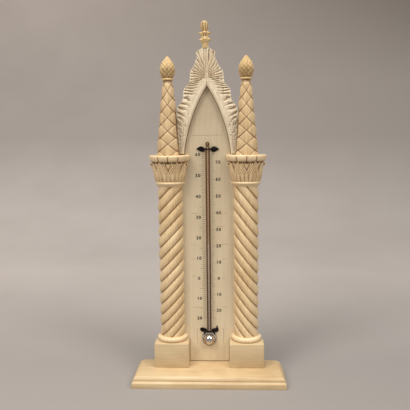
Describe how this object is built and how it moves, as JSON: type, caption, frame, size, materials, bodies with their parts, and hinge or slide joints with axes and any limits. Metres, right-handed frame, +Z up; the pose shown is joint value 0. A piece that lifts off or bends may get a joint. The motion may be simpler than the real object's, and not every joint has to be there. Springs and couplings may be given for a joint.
{
  "type": "column thermometer",
  "caption": "A carved bone table thermometer: two twisted columns with scaled spires carry a pointed arch round an engraved scale plate with a clipped mercury tube.",
  "frame": {"origin": "The middle of the lower board's underside, on the surface it rests on.", "axes": "+Z is up along the columns, -Y is the front with the scale, +X is to the right seen from the front."},
  "size_m": [0.107, 0.0284, 0.25],
  "materials": {
    "bone": "satin, carved",
    "bone_dark": "satin, stained",
    "bone_yellow": "satin, carved",
    "plate_bone": "matt, engraved",
    "arch_bone": "matt, carved",
    "dowel_wood": "raw",
    "glass": "clear",
    "mercury": "liquid metal",
    "black_brass": "blackened"
  },
  "bodies": {
    "root": {"base_board": "bone", "base_step": "bone", "plinth_left": "bone_dark", "plinth_right": "bone_dark", "base_dowels": "dowel_wood", "base_ring_left": "bone", "base_ring_right": "bone", "column_left": "bone", "column_right": "bone", "neck_ring_left": "bone", "neck_ring_right": "bone", "capital_left": "bone_dark", "capital_right": "bone_dark", "abacus_left": "bone", "abacus_right": "bone", "spire_left": "bone", "spire_right": "bone", "collar_left": "bone_yellow", "collar_right": "bone_yellow", "bud_left": "bone_yellow", "bud_right": "bone_yellow", "scale_plate": "plate_bone", "arch_left": "arch_bone", "arch_right": "arch_bone", "crest": "arch_bone", "top_finial": "bone_yellow", "glass_tube": "glass", "mercury_bulb": "mercury", "upper_clip": "black_brass", "lower_clip": "black_brass", "clip_pins": "black_brass", "mercury_thread": "mercury"},
    "mercury_level": {"mercury_cap": "mercury"}
  },
  "joints": [
    {"name": "mercury_rise", "type": "slide", "parent": "root", "child": "mercury_level", "axis": [0, 0, 1], "range_m": [-0.0548, 0.0637], "deforming": ["mercury_thread"]}
  ]
}
